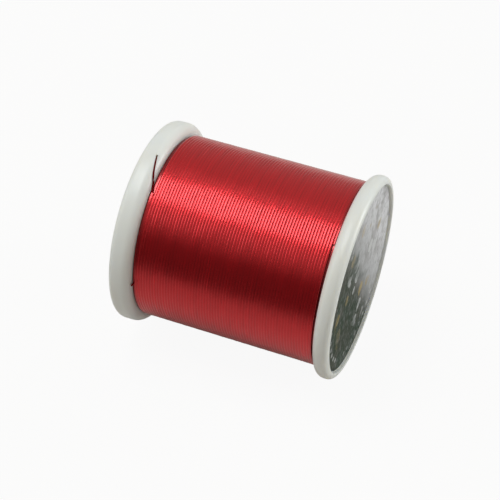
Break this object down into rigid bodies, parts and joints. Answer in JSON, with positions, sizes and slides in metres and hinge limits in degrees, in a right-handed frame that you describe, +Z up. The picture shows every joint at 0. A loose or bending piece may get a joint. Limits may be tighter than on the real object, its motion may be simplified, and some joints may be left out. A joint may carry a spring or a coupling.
{
  "type": "thread reel",
  "caption": "Moulded plastic thread reel with round-rimmed end flanges, wound full of fine glossy thread, with a round recessed label on its end and a bore for a spindle.",
  "frame": {"origin": "midway along the reel, straight below its axis, on the surface that both rims rest on", "axes": "+X along the reel's axis towards the labelled end, +Z up"},
  "size_m": [0.0264, 0.024, 0.024],
  "materials": {
    "flange_plastic": "glossy, slightly milky white",
    "label_film": "printed film with a metallic sheen",
    "thread": "glossy smooth thread"
  },
  "bodies": {
    "root": {"label_flange": "flange_plastic", "plain_flange": "flange_plastic", "barrel": "flange_plastic", "end_label": "label_film", "thread_core": "thread", "thread_winding": "thread"}
  },
  "joints": []
}
